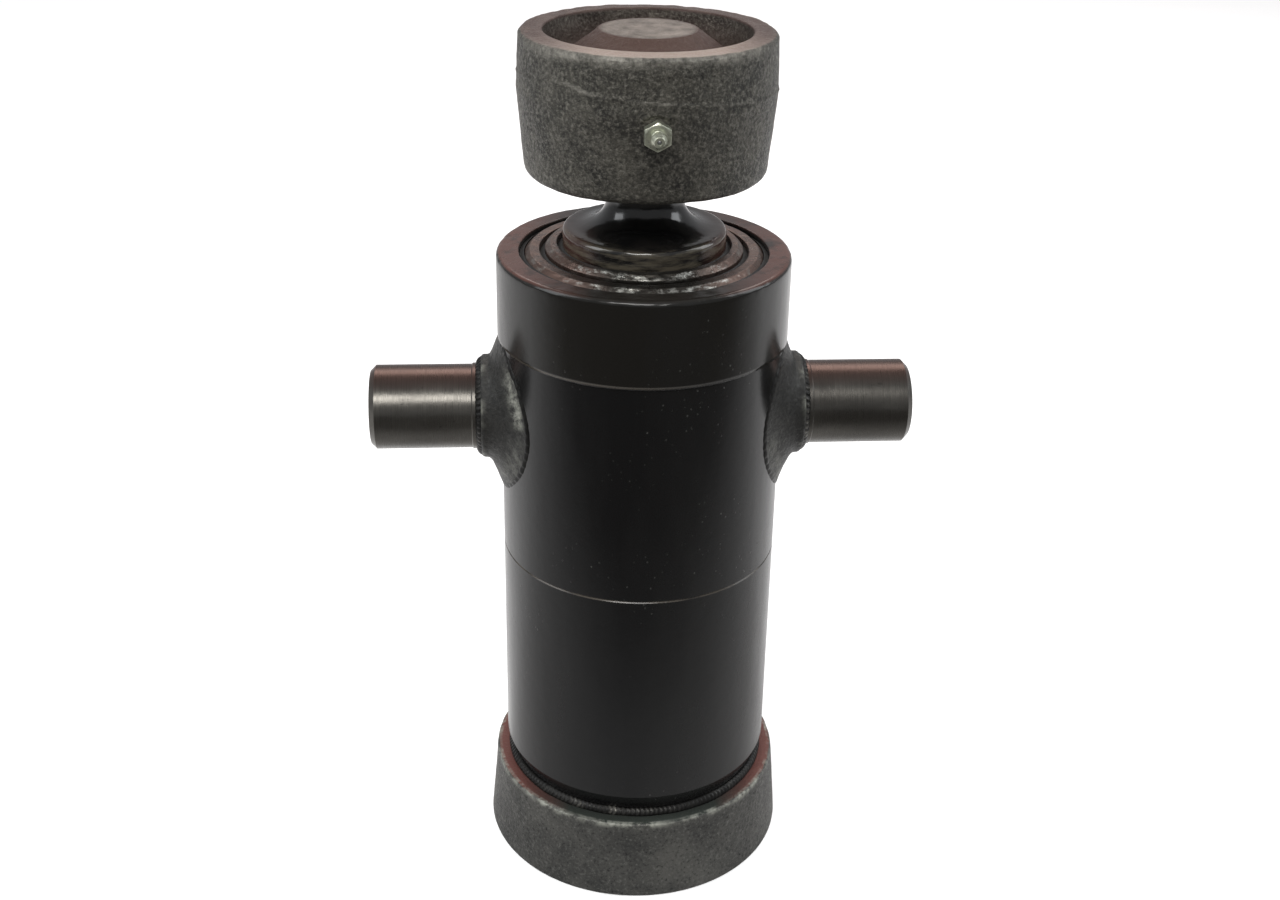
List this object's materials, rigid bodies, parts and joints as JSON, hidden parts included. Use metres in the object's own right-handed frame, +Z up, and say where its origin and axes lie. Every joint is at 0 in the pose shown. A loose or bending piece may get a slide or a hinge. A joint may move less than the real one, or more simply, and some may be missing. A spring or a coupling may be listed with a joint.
{
  "type": "telescopic tipping cylinder",
  "caption": "Short telescopic hydraulic cylinder with side trunnion pins and a swivelling ball cup on its plunger, for lifting a tipping body.",
  "frame": {"origin": "centre of the base cap's underside, on the cylinder's axis", "axes": "+Z up the cylinder's axis towards the ball cup, +X along the trunnion pins, -Y towards the grease nipple, +Y towards the oil port"},
  "size_m": [0.256, 0.151, 0.4155],
  "materials": {
    "cast_steel_black": "dark cast skin, lightly painted",
    "weld_bead": "dull weld metal with bright ridges",
    "gloss_black_paint": "gloss black paint with dust specks",
    "turned_steel": "turned, oiled and darkened",
    "ground_tube": "ground tube with a turned rim",
    "polished_plunger": "polished",
    "ball_end_steel": "wet gloss black over a forging",
    "forged_cup": "scaled forging, machined on top",
    "zinc_plate": "yellow-green zinc plate",
    "ring_wire": "bright spring wire",
    "wiper_rubber": "matt black",
    "seal_rubber": "matt dark green",
    "guide_resin": "phenolic fabric brown"
  },
  "bodies": {
    "barrel": {"base_cap": "cast_steel_black", "base_weld": "weld_bead", "barrel_tube": "gloss_black_paint", "gland_head": "gloss_black_paint", "head_wiper": "wiper_rubber", "head_rod_seal": "seal_rubber", "head_guide_band": "guide_resin", "trunnion_saddle_left": "cast_steel_black", "trunnion_saddle_right": "cast_steel_black", "trunnion_pin_left": "turned_steel", "trunnion_pin_right": "turned_steel", "trunnion_weld_left": "weld_bead", "trunnion_weld_right": "weld_bead"},
    "stage_1": {"stage_1_tube": "ground_tube", "stage_1_wiper": "wiper_rubber", "stage_1_rod_seal": "seal_rubber", "stage_1_guide_band": "guide_resin", "stage_1_foot_guide": "guide_resin", "stage_1_stop_ring": "ring_wire"},
    "stage_2": {"stage_2_tube": "ground_tube", "stage_2_wiper": "wiper_rubber", "stage_2_rod_seal": "seal_rubber", "stage_2_guide_band": "guide_resin", "stage_2_foot_guide": "guide_resin", "stage_2_stop_ring": "ring_wire"},
    "plunger_rings": {"plunger_foot_guide": "guide_resin", "plunger_stop_ring": "ring_wire"},
    "plunger": {"plunger_tube": "polished_plunger", "plunger_plug": "turned_steel", "ball_end": "ball_end_steel"},
    "cup_ring": {"cup_snap_ring": "ring_wire"},
    "cup": {"ball_cup": "forged_cup", "grease_nipple": "zinc_plate"},
    "check_ball": {"nipple_check_ball": "ring_wire"}
  },
  "joints": [
    {"name": "stage_1_slide", "type": "slide", "parent": "barrel", "child": "stage_1", "axis": [0, 0, 1], "range_m": [0, 0.194]},
    {"name": "stage_2_slide", "type": "slide", "parent": "stage_1", "child": "stage_2", "axis": [0, 0, 1], "range_m": [0, 0.201]},
    {"name": "plunger_slide", "type": "slide", "parent": "stage_2", "child": "plunger_rings", "axis": [0, 0, 1], "range_m": [0, 0.204]},
    {"name": "plunger_turn", "type": "hinge", "parent": "plunger_rings", "child": "plunger", "pos_m": [0, 0, 0.3], "axis": [0, 0, 1], "continuous": true},
    {"name": "cup_tilt", "type": "hinge", "parent": "plunger", "child": "cup_ring", "pos_m": [0, 0, 0.376], "axis": [1, 0, 0], "range_deg": [-22, 22]},
    {"name": "cup_turn", "type": "hinge", "parent": "cup_ring", "child": "cup", "pos_m": [0, 0, 0.376], "axis": [0, 0, 1], "continuous": true},
    {"name": "check_ball_lift", "type": "slide", "parent": "cup", "child": "check_ball", "axis": [0, 1, 0], "range_m": [0, 0.001]}
  ]
}
